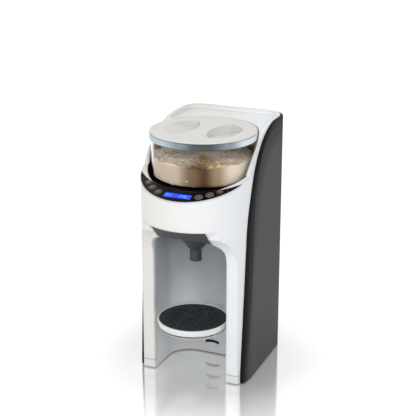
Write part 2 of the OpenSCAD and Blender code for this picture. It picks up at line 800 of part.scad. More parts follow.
// Driven gear with the shaft and dog that turn the dosing wheel
module drive_gear() {
    color("#e8e4d8") difference() {
        union() {
            translate([0, axis_y, gear_z]) linear_extrude(gear_t) gear_outline(gear_teeth);
            translate([0, axis_y, gear_z - 6]) cylinder(container_z - gear_z + 6, r = 5);
            translate([0, axis_y, gear_z]) cylinder(gear_t + 0.6, r = 10);
            translate([0, axis_y, container_z + 0.3]) cylinder(9, r = dog_d / 2, $fn = 6);
            translate([0, axis_y, container_z - 0.5]) cylinder(1.5, r = 5);
        }
        for (k = [0:5]) translate([0, axis_y, gear_z - 1]) rotate(k * 60 + 30)
            translate([20, 0, 0]) cylinder(gear_t + 2, r = 5);
    }
}

// Pinion on the motor's shaft
module motor_pinion() {
    color("#d8cfae") translate([0, pinion_y, gear_z]) difference() {
        union() {
            rotate(90 + 180 / pinion_teeth) linear_extrude(gear_t) gear_outline(pinion_teeth);
            translate([0, 0, -3]) cylinder(gear_t + 3, r = 5.5);
        }
        translate([0, 0, -9]) cylinder(40, r = 2.05);
    }
}

// Gear motor behind the funnel, hung from its flange
module gear_motor() {
    can_r = 14;
    can_h = 32;
    flange_z = gear_z - 6;
    color("#9a9da0") translate([0, pinion_y, 0]) {
        translate([0, 0, flange_z - 2]) linear_extrude(2) difference() {
            union() {
                circle(can_r);
                translate([-24, -8]) square([48, 16]);
            }
            for (s = [-1, 1]) translate([s * 19, 0]) circle(2);
        }
        translate([0, 0, flange_z - 2 - can_h]) cylinder(can_h, r = can_r);
        translate([0, 0, flange_z]) cylinder(2, r = 4);
        translate([0, 0, flange_z]) cylinder(gear_t + 5, r = 2);
    }
}

// ---------------------------------------------------------------- funnel

// Everything behind the carrier's sloping front, moved back by a distance
module behind_slope(inset) {
    foot = funnel_y - 41 + inset;
    across(body_w) polygon([[foot + 9, carrier_z - 9], [foot - 41, carrier_z + 41],
        [back_y, carrier_z + 41], [back_y, carrier_z - 9]]);
}

// Dark carrier that fills the notch and carries the funnel
module funnel_carrier() {
    side = notch_w / 2 - 0.35;
    hole = cone_d / 2 + 0.3;
    color("#434342") difference() {
        intersection() {
            housing_form(-0.3);
            behind_slope(0);
            translate([-side, front_y, carrier_z])
                cube([2 * side, funnel_y + 37 - front_y, channel_top - 0.4 - carrier_z]);
        }
        translate([0, funnel_y, carrier_z - 1]) cylinder(40, r = hole);
        // grooves that run on the rails
        for (s = [-1, 1]) translate([s * side, funnel_y + 6, rail_z])
            cube([2 * (rail_w - 0.05), 62.8, rail_t + 0.6], center = true);
        // open tray around the funnel's mouth
        intersection() {
            housing_form(-3.2);
            behind_slope(4.2);
            translate([-side + 3, front_y, carrier_z + 6])
                cube([2 * side - 6, funnel_y + 34 - front_y, 40]);
        }
    }
}

// Funnel: flange, cone and spout in one piece
module mixing_funnel() {
    mouth = cone_d / 2;
    spout_r = spout_d / 2;
    neck_z = spout_z + 18;
    skin = 1.8;
    color("#474746") translate([0, funnel_y, 0]) rotate_extrude() polygon([
        [spout_r, spout_z], [spout_r, neck_z], [spout_r + 2.4, neck_z + 2], [mouth, carrier_z],
        [mouth, carrier_z + 6], [mouth + 4, carrier_z + 6], [mouth + 4, carrier_z + 8],
        [mouth - skin, carrier_z + 8], [mouth - skin, carrier_z + 0.6],
        [spout_r + 2.4 - skin, neck_z + 3], [spout_r - skin, neck_z + 0.6], [spout_r - skin, spout_z]]);
}

// ---------------------------------------------------------------- stand

// White round stand with a neck and a tongue for the slots
module bottle_stand() {
    top_r = stand_d / 2;
    low_r = top_r - 5.3;
    mat_r = top_r - 2.6;
    neck_w = slot_w + 10;
    color("#e9ebec") {
        difference() {
            union() {
                translate([0, stand_y, stand_z - stand_h]) rotate_extrude() polygon([[0, 0],
                    [low_r - 2, 0], [low_r, 0.8], [low_r + 2, 3], [top_r - 0.6, stand_h - 4],
                    [top_r, stand_h - 1.4], [top_r - 0.5, stand_h], [0, stand_h]]);
                translate([-neck_w / 2, stand_y + top_r - 12, stand_z - stand_h])
                    cube([neck_w, bay_back_y - 0.5 - stand_y - top_r + 12, slot_h + 4]);
            }
            translate([0, stand_y, stand_z - stand_h + 2.2]) cylinder(40, r = mat_r);
        }
        stand_tongue();
    }
}

// Tongue of the stand, a running fit in a slot
module stand_tongue() {
    fit = 0.35;
    rise = 2.2;
    w = slot_w - 2 * fit;
    bow = (slot_w * slot_w / 4 + rise * rise) / (2 * rise);
    backwards(bay_back_y - 0.6, liner_t + 6) intersection() {
        translate([-w / 2, slot_z - rise]) square([w, slot_h + rise]);
        difference() {
            translate([0, slot_z + slot_h - fit - bow]) circle(bow, $fn = 160);
            translate([0, slot_z + fit - bow]) circle(bow, $fn = 160);
        }
    }
}

// Black slotted mat that lies in the stand
module drip_mat() {
    mat_r = stand_d / 2 - 2.9;
    skin = 2.6;
    slot = 3;
    pitch = 8;
    color("#1d2021") difference() {
        translate([0, stand_y, stand_z - 0.9 - skin]) cylinder(skin, r = mat_r);
        for (row = [-5:5]) let (y = row * pitch,
            half = sqrt(pow(mat_r - 7, 2) - y * y), count = abs(row) < 5 ? 3 : 2, bar = 2 * half / count)
            for (k = [0:count - 1]) translate([-half + (k + 0.5) * bar, stand_y + y, stand_z - 0.9 - 2 * skin])
                linear_extrude(3 * skin) {
                    square([bar - slot - 5, slot], center = true);
                    for (s = [-1, 1]) translate([s * (bar - slot - 5) / 2, 0]) circle(slot / 2);
                }
        translate([0, stand_y, stand_z - 0.9 - skin - 1]) difference() {
            cylinder(1.6, r = mat_r - 4);
            translate([0, 0, -1]) cylinder(4, r = mat_r - 5.5);
        }
    }
    color("#1d2021") for (k = [0:5]) translate([0, stand_y, stand_z - stand_h + 2.2]) rotate(k * 60 + 30)
        translate([mat_r - 4.6, 0, 0]) cylinder(stand_h - 2.2 - 0.9 - skin + 0.2, r = 2);
}

// ---------------------------------------------------------------- water side

inlet_x = 38;
inlet_z = 33;
cap_w = 54;
cap_d = 0.48 * tank_d;
hinge_y = tank_y + 0.36 * tank_d;

// Rounded block for the tank, grown by a distance
module tank_block(grow, z0, z1) {
    r = 9 + grow;
    w = tank_w / 2 + grow;
    translate([0, 0, z0]) linear_extrude(z1 - z0) {
        for (s = [-1, 1], y = [tank_y + 9, tank_y + tank_d - 9]) translate([s * (w - r), y]) circle(r);
        translate([-w, tank_y + 9]) square([2 * w, tank_d - 18]);
        translate([-(w - r), tank_y - grow]) square([2 * (w - r), tank_d + 2 * grow]);
    }
}

// Clear water tank with a filling mouth, a grip recess and a valve well
module water_tank() {
    skin = 2.4;
    top = tank_z + tank_h;
    color("#b8ccd8", 0.5) {
        difference() {
            tank_block(0, tank_z, top);
            tank_block(-skin, tank_z + skin, top - skin);
            translate([-cap_w / 2 + 3, hinge_y + 5, top - 9]) cube([cap_w - 6, cap_d - 8, 20]);
            translate([0, well_y, tank_z - 1]) cylinder(9, r = 4);
            // finger recess in the back
            translate([-24, tank_y + tank_d - 10, top - 62]) cube([48, 20, 22]);
        }
        difference() {
            translate([-26.4, tank_y + tank_d - 12.4, top - 64.4]) cube([52.8, 10.6, 26.8]);
            translate([-24, tank_y + tank_d - 10, top - 62]) cube([48, 20, 22]);
        }
        // valve cage
        translate([0, well_y, tank_z + skin - eps]) difference() {
            cylinder(18, r = 9.5);
            translate([0, 0, -1]) cylinder(17, r = 7.6);
            for (k = [0:3]) rotate(k * 90 + 45) translate([0, -2.5, 5]) cube([20, 5, 7]);
            translate([0, 0, 9]) cylinder(20, r = 1.9);
        }
        // hinge ears
        for (s = [-1, 1]) translate([s * (cap_w / 2 + 3.4), hinge_y, top + 3]) rotate([0, 90, 0])
            difference() {
                union() {
                    cylinder(4, r = 3, center = true);
                    translate([0, -3, -2]) cube([3.2, 6, 4]);
                }
                cylinder(9, r = 1.55, center = true);
            }
    }
}

// Filling cap that swings up on its two pins
module tank_cap() {
    top = tank_z + tank_h;
    color("#8fa0aa") {
        translate([-cap_w / 2, hinge_y + 3.6, top + 0.3]) cube([cap_w, cap_d, 2.4]);
        translate([-cap_w / 2 + 4, hinge_y + 6, top - 1.6]) cube([cap_w - 8, cap_d - 10, 2]);
        difference() {
            translate([-cap_w / 2, hinge_y, top + 3]) rotate([0, 90, 0]) cylinder(cap_w, r = 2.5);
            translate([-cap_w / 2 + 8, hinge_y - 5, top - 1]) cube([cap_w - 16, 10, 10]);
        }
        for (s = [-1, 1]) {
            translate([s * (cap_w / 2 - 4) - 4, hinge_y, top + 1]) cube([8, 5, 1.7]);
            translate([s * (cap_w / 2 + 2), hinge_y, top + 3]) rotate([0, 90, 0]) cylinder(6.4, r = 1.5, center = true);
        }
        translate([-10, hinge_y + 3.6 + cap_d - eps, top + 0.3]) cube([20, 4, 2.4]);
    }
}

// Poppet that closes the tank's outlet
module tank_valve() {
    z = tank_z + 2.4;
    color("#5d6468") translate([0, well_y, 0]) {
        translate([0, 0, z]) cylinder(2.2, r = 6.4);
        translate([0, 0, tank_z + 0.4]) cylinder(4, r = 3.2);
        translate([0, 0, z + 2]) cylinder(18, r = 1.6);
    }
}

// Spring that holds the poppet down, wound as one wire
module valve_spring() {
    r = 3.4;
    wire = 0.45;
    z0 = tank_z + 2.4 + 2.2 + wire + 0.1;
    h = 12 - 2.4 - 2 * wire - 0.2 + 4;
    turns = 5;
    steps = 16;
    color("#b0b3b5") tube([for (i = [0:turns * steps]) let (a = i * 360 / steps)
        [r * cos(a), well_y + r * sin(a), z0 + h * i / (turns * steps)]], wire, 6);
}

// Cup under the tank that takes the water on
module valve_seat() {
    flange_r = min(14, tank_d / 2 - wall - 1);
    color("#30343a") translate([0, well_y, 0]) difference() {
        union() {
            translate([0, 0, tank_z - 14]) cylinder(13.2, r = 10.6);
            translate([0, 0, tank_z - wall - 2]) cylinder(2, r = flange_r);
            translate([0, 0, tank_z - 22]) cylinder(9, r = 4);
        }
        translate([0, 0, tank_z - 11]) cylinder(20, r = 8.4);
        translate([0, 0, tank_z - 30]) cylinder(40, r = 2.4);
    }
}

pump_place = [36, bay_back_y + 19];
pump_z = 24;
heater_place = [-36, bay_back_y + 18];
heater_z = 70;
heater_h = 110;

// Water pump behind the bay, standing on the base
module water_pump() {
    floor_z = foot_h + 2.4;
    color("#4a4d50") translate([pump_place[0], pump_place[1], pump_z]) {
        translate([0, 0, floor_z - pump_z]) cylinder(pump_z - floor_z, r = 9);
        cylinder(34, r = 13);
        translate([0, 0, 34]) cylinder(16, r = 10);
        translate([0, 0, 50]) cylinder(7, r = 3);
    }
}

// Water heater behind the bay
module water_heater() {
    can_r = 14;
    clamp_h = 6;
    color("#b4b6b8") translate([heater_place[0], heater_place[1], heater_z]) {
        cylinder(heater_h, r = can_r);
        // clamps that reach back to the rear frame
        for (z = [7, heater_h - 13]) translate([0, 0, z]) {
            cylinder(clamp_h, r = can_r + 1);
            translate([-can_r / 2, 0, 0]) cube([can_r, bulkhead_y - heater_place[1], clamp_h]);
        }
        translate([0, 0, heater_h]) cylinder(8, r = 3);
        translate([0, 0, -8]) cylinder(8, r = 3);
    }
}

// Silicone tubes: tank to pump, pump to heater, and heater to the funnel
module water_tubes() {
    r = 3;
    x0 = pump_place[0];
    x1 = heater_place[0];
    y0 = pump_place[1];
    y1 = heater_place[1];
    z0 = pump_z + 57;
    z1 = heater_z + heater_h + 8;
    low_z = heater_z - 8;
    bow_z = 2 * chamber_z - z1 - 43;
    color("#d9d4c8") {
        tube(curve([0, well_y, tank_z - 22], [0, well_y, 0], [x0, well_y - 10, 9], [x0, y0 + 9, 9], 12), r, 10);
        tube(concat([[x0, y0, z0], [x0, y0, z0 + 5]],
            curve([x0, y0, z0 + 9], [x0, y0, z0 + 39], [0, y0 + 4, z0 + 39], [0, y0, z0 - 1], 10),
            curve([0, y0, low_z + 4], [0, y0, low_z - 22], [x1, y1, low_z - 26], [x1, y1, low_z - 4], 10),
            [[x1, y1, low_z]]), r, 10);
        tube(concat([[x1, y1, z1], [x1, y1, z1 + 22]],
            curve([x1, y1, z1 + 44], [x1, y1, bow_z], [nozzle[0], nozzle[1], bow_z],
                [nozzle[0], nozzle[1], chamber_z + 6], 14), [[nozzle[0], nozzle[1], channel_top]]), r, 10);
    }
}

// Mains inlet in the back, low on the right
module power_inlet() {
    color("#1b1c1d") translate([inlet_x, back_y - cover_proud, inlet_z]) difference() {
        union() {
            translate([-13.5, -16, -10.5]) cube([27, 16.2, 21]);
            translate([-15.5, 0.1, -12.5]) cube([31, cover_proud - 0.1, 25]);
        }
        translate([-11, -12, -7.5]) cube([22, 20, 15]);
    }
    pin = [2, 9, 4];
    color("#c9b27a") for (s = [-1, 0, 1])
        translate([inlet_x + s * 3 * pin[0] - 1, back_y - cover_proud - 13, inlet_z - (s == 0 ? -1 : 3)])
            cube(pin);
}

rubber_feet();
base_band();
front_shell();
bay_liner();
left_side_cover();
right_side_cover();
rear_frame();
control_panel();
display();
button_power();
button_start();
button_water();
button_left_1();
button_left_2();
button_left_3();
circuit_board();
powder_container();
container_band();
container_lid();
dosing_wheel();
stirrer();
outlet_plate();
container_platform();
drive_gear();
motor_pinion();
gear_motor();
funnel_carrier();
mixing_funnel();
bottle_stand();
drip_mat();
water_tank();
tank_cap();
tank_valve();
valve_spring();
valve_seat();
water_pump();
water_heater();
water_tubes();
power_inlet();
screws();
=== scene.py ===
import json
import math
import bmesh
import bpy
from mathutils import Matrix, Vector, noise

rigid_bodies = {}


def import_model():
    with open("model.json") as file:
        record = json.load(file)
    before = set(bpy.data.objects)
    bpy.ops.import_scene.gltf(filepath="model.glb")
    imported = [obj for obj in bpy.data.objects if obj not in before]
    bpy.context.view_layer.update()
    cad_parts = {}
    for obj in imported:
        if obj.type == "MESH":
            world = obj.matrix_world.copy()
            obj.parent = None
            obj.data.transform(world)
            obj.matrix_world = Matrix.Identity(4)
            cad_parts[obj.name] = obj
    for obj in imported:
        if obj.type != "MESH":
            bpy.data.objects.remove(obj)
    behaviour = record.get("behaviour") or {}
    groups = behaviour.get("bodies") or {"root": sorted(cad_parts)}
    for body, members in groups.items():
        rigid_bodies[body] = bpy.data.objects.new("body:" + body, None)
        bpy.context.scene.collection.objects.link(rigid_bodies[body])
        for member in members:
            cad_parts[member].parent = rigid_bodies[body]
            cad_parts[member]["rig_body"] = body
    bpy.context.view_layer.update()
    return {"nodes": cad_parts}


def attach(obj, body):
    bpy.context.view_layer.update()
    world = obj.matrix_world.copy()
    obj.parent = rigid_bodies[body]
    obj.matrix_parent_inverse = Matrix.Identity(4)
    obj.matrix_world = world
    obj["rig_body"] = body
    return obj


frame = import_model()
NODES = frame["nodes"]

# ---------------------------------------------------------------- camera

CAMERA_AZIMUTH = math.radians(23.867)
CAMERA_PITCH = math.radians(18.300)
CAMERA_ROLL = math.radians(0.115)
CAMERA_PLACE = (0.6371, -1.4374, 0.7757)
CAMERA_LENS = 93.17

camera = bpy.data.cameras.new("camera")
camera.lens = CAMERA_LENS
camera.sensor_width = 36.0
camera.clip_start = 0.05
camera.clip_end = 60.0
camera_object = bpy.data.objects.new("camera", camera)
bpy.context.scene.collection.objects.link(camera_object)
turn = (Matrix.Rotation(CAMERA_AZIMUTH, 4, "Z")
        @ Matrix.Rotation(math.pi / 2 - CAMERA_PITCH, 4, "X")
        @ Matrix.Rotation(CAMERA_ROLL, 4, "Z"))
camera_object.matrix_world = Matrix.Translation(CAMERA_PLACE) @ turn
bpy.context.scene.camera = camera_object

# ---------------------------------------------------------------- helpers

# the Mix node's colour sockets, which share their names with its other ones
MIX_COLOUR_A, MIX_COLOUR_B, MIX_COLOUR_RESULT = 6, 7, 2


def linear(hex_colour):
    """Scene-linear RGBA of a display colour such as e9eaea."""
    out = []
    for i in (0, 2, 4):
        c = int(hex_colour[i:i + 2], 16) / 255.0
        out.append(c / 12.92 if c <= 0.04045 else ((c + 0.055) / 1.055) ** 2.4)
    return (out[0], out[1], out[2], 1.0)


class Shader:
    """A node material with one Principled shader and short ways to add nodes."""

    def __init__(self, name):
        self.material = bpy.data.materials.new(name)
        self.material.use_nodes = True
        self.tree = self.material.node_tree
        self.tree.nodes.clear()
        self.output = self.tree.nodes.new("ShaderNodeOutputMaterial")
        self.main = self.tree.nodes.new("ShaderNodeBsdfPrincipled")
        self.link(self.main.outputs[0], self.output.inputs["Surface"])
        self.place = self.tree.nodes.new("ShaderNodeTexCoord").outputs["Object"]

    def link(self, a, b):
        self.tree.links.new(a, b)

    def node(self, kind, **values):
        n = self.tree.nodes.new(kind)
        for key, value in values.items():
            setattr(n, key, value)
        return n

    def put(self, socket, value):
        self.main.inputs[socket].default_value = value

    def noise(self, scale, detail=2.0, roughness=0.5, stretch=None):
        n = self.node("ShaderNodeTexNoise")
        n.inputs["Scale"].default_value = scale
        n.inputs["Detail"].default_value = detail
        n.inputs["Roughness"].default_value = roughness
        source = self.place
        if stretch:
            m = self.node("ShaderNodeMapping")
            m.inputs["Scale"].default_value = stretch
            self.link(source, m.inputs["Vector"])
            source = m.outputs["Vector"]
        self.link(source, n.inputs["Vector"])
        return n.outputs["Fac"]

    def ramp(self, fac, stops, smooth=True):
        r = self.node("ShaderNodeValToRGB")
        r.color_ramp.interpolation = "EASE" if smooth else "LINEAR"
        elements = r.color_ramp.elements
        while len(elements) < len(stops):
            elements.new(0.5)
        for e, (position, colour) in zip(elements, stops):
            e.position = position
            e.color = colour
        self.link(fac, r.inputs["Fac"])
        return r.outputs["Color"]

    def spread(self, fac, low, high, from_low=0.3, from_high=0.7):
        m = self.node("ShaderNodeMapRange")
        m.inputs["From Min"].default_value = from_low
        m.inputs["From Max"].default_value = from_high
        m.inputs["To Min"].default_value = low
        m.inputs["To Max"].default_value = high
        self.link(fac, m.inputs["Value"])
        return m.outputs["Result"]

    def math(self, operation, a, b=None):
        m = self.node("ShaderNodeMath", operation=operation)
        for socket, value in ((m.inputs[0], a), (m.inputs[1], b)):
            if value is None:
                continue
            if isinstance(value, (int, float)):
                socket.default_value = value
            else:
                self.link(value, socket)
        return m.outputs[0]

    def hypot(self, a, b, least=0.0):
        """Square root of two squares' sum, kept above 0 by a small least value where one is given."""
        squares = self.math("ADD", self.math("MULTIPLY", a, a), self.math("MULTIPLY", b, b))
        return self.math("SQRT", self.math("ADD", squares, least) if least else squares)

    def mix(self, fac, a, b):
        """Mix of two colours by a socket; a tuple is a fixed colour."""
        m = self.node("ShaderNodeMix", data_type="RGBA")
        self.link(fac, m.inputs["Factor"])
        for socket, value in ((m.inputs[MIX_COLOUR_A], a), (m.inputs[MIX_COLOUR_B], b)):
            if isinstance(value, tuple):
                socket.default_value = value
            else:
                self.link(value, socket)
        return m.outputs[MIX_COLOUR_RESULT]

    def axis(self, letter):
        s = self.node("ShaderNodeSeparateXYZ")
        self.link(self.place, s.inputs[0])
        return s.outputs[letter]

    def angle(self, x, y):
        """Angle round an upright axis: 0 at the front, growing to the right, in radians."""
        dx = self.math("SUBTRACT", self.axis("X"), x)
        dy = self.math("SUBTRACT", y, self.axis("Y"))
        return self.math("ARCTAN2", dx, dy)

    def rounded(self, radius):
        b = self.node("ShaderNodeBevel", samples=6)
        b.inputs["Radius"].default_value = radius
        return b.outputs["Normal"]

    def relief(self, height, strength, distance, normal=None):
        b = self.node("ShaderNodeBump")
        b.inputs["Strength"].default_value = strength
        b.inputs["Distance"].default_value = distance
        self.link(height, b.inputs["Height"])
        if normal is not None:
            self.link(normal, b.inputs["Normal"])
        self.link(b.outputs["Normal"], self.main.inputs["Normal"])


def shade(colour, factor):
    """A colour made darker or lighter by a factor."""
    return tuple(min(1.0, c * factor) for c in colour[:3]) + (1.0,)


def grey(value):
    return (value, value, value, 1.0)


def share(value, ends):
    """Where a value lies between two ends, from 0 to 1."""
    return (value - ends[0]) / (ends[1] - ends[0])


def direct_rays(tree):
    """Socket that is 1 for what is seen, mirrored or seen through, and 0 for the light on things."""
    rays = tree.nodes.new("ShaderNodeLightPath")
    seen = rays.outputs["Is Camera Ray"]
    for other in ("Is Glossy Ray", "Is Transmission Ray"):
        either = tree.nodes.new("ShaderNodeMath")
        either.operation = "MAXIMUM"
        tree.links.new(seen, either.inputs[0])
        tree.links.new(rays.outputs[other], either.inputs[1])
        seen = either.outputs[0]
    return seen


def moulded(name, colour, rough, vary, grain, edge, specular, scale=1400.0):
    """Moulded plastic: slight colour drift, fine grain and edges softened by a radius."""
    s = Shader(name)
    base = linear(colour)
    s.link(s.ramp(s.noise(14.0), [(0.3, shade(base, 1 - vary)), (0.7, shade(base, 1 + vary))]),
           s.main.inputs["Base Color"])
    fine = s.noise(scale, 3.0)
    s.link(s.spread(fine, rough - 0.04, rough + 0.04), s.main.inputs["Roughness"])
    s.put("Specular IOR Level", specular)
    s.relief(fine, grain, 0.0001, s.rounded(edge) if edge else None)
    return s


def metal(name, colour, rough, stretch):
    """Brushed metal: streaks along one direction."""
    s = Shader(name)
    base = linear(colour)
    streak = s.noise(60.0, 4.0, 0.6, stretch)
    s.link(s.ramp(streak, [(0.3, shade(base, 0.86)), (0.7, shade(base, 1.06))]),
           s.main.inputs["Base Color"])
    s.link(s.spread(streak, rough - 0.07, rough + 0.07), s.main.inputs["Roughness"])
    s.put("Metallic", 1.0)
    s.relief(streak, 0.1, 0.00005, s.rounded(0.0005))
    return s


def dress(node, shader):
    """Gives a CAD node its material."""
    mesh = NODES[node].data
    mesh.materials.clear()
    mesh.materials.append(shader.material)


def piece(name, mesh, shader, body):
    """A new piece that rides on a body."""
    o = bpy.data.objects.new(name, mesh)
    bpy.context.scene.collection.objects.link(o)
    mesh.materials.append(shader.material)
    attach(o, body)
    return o


# ---------------------------------------------------------------- materials

# places on the CAD parts that the looks follow, in metres
SEAM_Z = 0.0145
CONTAINER_Y = -0.015
RIM_R = 0.0842
RIM_LOW_Z = 0.290
LEDGE_SLOPE = math.radians(18.0)
LEDGE_Z = 0.3410
SHELL_SIDES = (-0.09, 0.09)

shell = Shader("white_gloss_plastic")
# painted light and shade: the shell is painted greyer and warmer on its left and whiter and cooler on its
# right, as the lamps light it
painted_side_light = shell.ramp(shell.spread(shell.axis("X"), 0.0, 1.0, *SHELL_SIDES),
                        [(0.0, linear("e5e4e0")), (0.35, linear("eceae6")), (0.75, linear("f0f1f3")),
                         (1.0, linear("edf1f5"))])
shell_tone = shell.mix(shell.spread(shell.noise(9.0), 0.0, 0.05), painted_side_light, linear("d9d9d6"))
seam_gap = shell.math("ABSOLUTE", shell.math("SUBTRACT", shell.axis("Z"), SEAM_Z))
seamed = shell.mix(shell.spread(seam_gap, 0.6, 0.0, 0.0004, 0.0009), shell_tone, linear("6a6b6a"))
# the thin rim between the black panel and the container's recess is painted near-black, as painted shade in
# the container's seat recess
from_axis = shell.hypot(shell.axis("X"), shell.math("SUBTRACT", shell.axis("Y"), CONTAINER_Y))
ledge_here = shell.math("ADD", shell.math("MULTIPLY", shell.axis("Y"), math.tan(LEDGE_SLOPE)), LEDGE_Z)
near_ledge = shell.math("MULTIPLY", shell.math("LESS_THAN", shell.axis("Z"), ledge_here),
                        shell.math("GREATER_THAN", shell.axis("Z"), RIM_LOW_Z))
rim_shade_mask = shell.math("MULTIPLY", shell.math("LESS_THAN", from_axis, RIM_R), near_ledge)
shell.link(shell.mix(rim_shade_mask, seamed, linear("1a1615")), shell.main.inputs["Base Color"])
shell_grain = shell.noise(700.0, 2.0)
shell.link(shell.spread(shell_grain, 0.26, 0.32), shell.main.inputs["Roughness"])
shell.put("Specular IOR Level", 0.4)
shell.relief(shell_grain, 0.04, 0.0001, shell.rounded(0.005))

band_white = moulded("base_band_plastic", "e3e4e4", 0.34, 0.02, 0.06, 0.0012, 0.5)

# side covers: dark satin faces with a near-black soft band along their front and top edge, whose (y, z)
# points are EDGE_LINE; the band is painted shade and dark reflection of the rounded edge, and widens from
# its first to its second width between two heights
EDGE_LINE = [(-0.063, SEAM_Z), (-0.051, 0.237), (-0.0406, 0.2945), (-0.0191, 0.3408), (0.0141, 0.3731),
             (0.0354, 0.3833), (0.060, 0.389), (0.120, 0.391)]
EDGE_Y, EDGE_Z = zip(EDGE_LINE[0], EDGE_LINE[-1])
EDGE_WIDTHS, EDGE_WIDTHS_AT = (0.016, 0.037), (0.02, 0.24)

cover = Shader("dark_satin_cover")
cover_normal = cover.rounded(0.003)
cover_y, cover_z = cover.axis("Y"), cover.axis("Z")
line_y = cover.ramp(cover.spread(cover_z, 0.0, 1.0, *EDGE_Z),
                    [(share(z, EDGE_Z), grey(share(y, EDGE_Y))) for y, z in EDGE_LINE], smooth=False)
line_z = cover.ramp(cover.spread(cover_y, 0.0, 1.0, *EDGE_Y),
                    [(share(y, EDGE_Y), grey(share(z, EDGE_Z))) for y, z in EDGE_LINE], smooth=False)
behind = cover.math("SUBTRACT", cover_y, cover.spread(line_y, *EDGE_Y, 0.0, 1.0))
below = cover.math("SUBTRACT", cover.spread(line_z, *EDGE_Z, 0.0, 1.0), cover_z)
back_by = cover.math("MAXIMUM", behind, 0.0)
down_by = cover.math("MAXIMUM", below, 0.0)
slant = cover.hypot(back_by, down_by, 1e-9)
inwards = cover.math("DIVIDE", cover.math("MULTIPLY", back_by, down_by), slant)
shade_band_width = cover.spread(cover_z, *EDGE_WIDTHS, *EDGE_WIDTHS_AT)
edge_shade_mask = cover.spread(cover.math("DIVIDE", inwards, shade_band_width), 1.0, 0.0, 0.55, 1.0)
cover_face = cover.ramp(cover.noise(7.0), [(0.3, linear("363635")), (0.7, linear("3b3b3a"))])
# the near-black band mixed in here is painted shade and dark reflection along the rounded edge
cover.link(cover.mix(edge_shade_mask, cover_face, linear("070707")), cover.main.inputs["Base Color"])
cover_grain = cover.noise(1800.0, 3.0)
cover.link(cover.spread(cover_grain, 0.46, 0.56), cover.main.inputs["Roughness"])
cover.put("Specular IOR Level", 0.16)
cover.relief(cover_grain, 0.12, 0.0001, cover_normal)

liner = Shader("bay_lining_plastic")
# painted shade: the bay lining is painted darker towards its top, under the shell's overhang, and paler low
# down
painted_bay_shade = liner.ramp(liner.spread(liner.axis("Z"), 0.0, 1.0, 0.03, 0.225),
                          [(0.0, linear("e3e6e8")), (0.35, linear("d3d7db")), (0.7, linear("b9bec4")),
                           (1.0, linear("a2a8ad"))])
liner.link(liner.mix(liner.spread(liner.noise(11.0), 0.0, 0.08), painted_bay_shade, linear("8b9194")),
           liner.main.inputs["Base Color"])
liner_grain = liner.noise(1600.0, 3.0)
liner.link(liner.spread(liner_grain, 0.44, 0.54), liner.main.inputs["Roughness"])
liner.put("Specular IOR Level", 0.3)
liner.relief(liner_grain, 0.1, 0.0001, liner.rounded(0.0012))

panel = moulded("black_gloss_panel", "15100e", 0.16, 0.12, 0.02, 0.0006, 0.12)
button_face = moulded("button_plastic", "4b4743", 0.34, 0.06, 0.06, 0.0006, 0.3)
lid = moulded("lid_plastic", "dddcd8", 0.34, 0.02, 0.05, 0.0014, 0.4)
stand = moulded("stand_gloss_plastic", "eceded", 0.3, 0.02, 0.05, 0.001, 0.4)
mat = moulded("mat_rubber", "262b2d", 0.5, 0.1, 0.15, 0.0006, 0.3, 900.0)
funnel_dark = moulded("funnel_plastic", "3f4041", 0.42, 0.05, 0.1, 0.0012, 0.3)
carrier_dark = moulded("carrier_plastic", "444546", 0.44, 0.05, 0.1, 0.0015, 0.3)
foot_rubber = moulded("foot_rubber", "2a2a2b", 0.7, 0.1, 0.4, 0.0006, 0.2)
frame_dark = moulded("rear_frame_plastic", "3b3b3a", 0.46, 0.04, 0.25, 0.0012, 0.3)
inlet_black = moulded("inlet_plastic", "1b1b1b", 0.42, 0.08, 0.15, 0.0006, 0.3)
cap_grey = moulded("cap_plastic", "8f9fa9", 0.4, 0.03, 0.08, 0.001, 0.35)
inner_cream = moulded("inner_cream_plastic", "e6e1d6", 0.44, 0.03, 0.1, 0.0006, 0.35)
inner_grey = moulded("inner_grey_plastic", "cfd3d3", 0.42, 0.03, 0.1, 0.0006, 0.35)
pump_dark = moulded("pump_plastic", "4a4c4f", 0.45, 0.05, 0.15, 0.0008, 0.3)
board_green = moulded("board_laminate", "2c5a3a", 0.4, 0.12, 0.1, 0.0003, 0.3)
valve_rubber = moulded("valve_rubber", "5b6369", 0.6, 0.06, 0.2, 0.0004, 0.25)
seat_dark = moulded("seat_plastic", "30343b", 0.45, 0.05, 0.15, 0.0006, 0.3)
tube_silicone = moulded("tube_silicone", "dbd6c9", 0.45, 0.04, 0.08, 0.0, 0.4)
steel = metal("screw_steel", "8c8d8f", 0.34, (30.0, 1.0, 1.0))
spring_steel = metal("spring_steel", "b0b2b4", 0.25, (1.0, 1.0, 30.0))
brass = metal("pinion_brass", "d8ce9f", 0.3, (1.0, 1.0, 40.0))
heater_metal = metal("heater_aluminium", "b5b5b8", 0.38, (40.0, 1.0, 1.0))
motor_paint = moulded("motor_paint", "999da0", 0.38, 0.04, 0.1, 0.0006, 0.45)

band = Shader("brushed_silver_band")
around = band.angle(0.0, CONTAINER_Y)
band_streak = band.noise(50.0, 4.0, 0.6, (1.0, 1.0, 90.0))
# painted reflection: the band is painted dark at the front, a little to the right, and light round its
# sides, as it mirrors dark and bright surroundings
painted_reflection_tone = band.ramp(band.spread(around, 0.0, 1.0, -math.pi, math.pi),
                        [(0.0, linear("b9c4ca")), (0.43, linear("b4c3cb")), (0.50, linear("7b8890")),
                         (0.54, linear("3d464c")), (0.585, linear("353d42")), (0.645, linear("84909a")),
                         (0.70, linear("dfe5e6")), (1.0, linear("c4ced3"))])
band.link(band.mix(band.spread(band_streak, 0.0, 0.2), painted_reflection_tone, linear("8f9aa1")),
          band.main.inputs["Base Color"])
band.link(band.spread(band_streak, 0.26, 0.38), band.main.inputs["Roughness"])
band.put("Metallic", 0.6)
band.relief(band_streak, 0.08, 0.00005, band.rounded(0.0006))


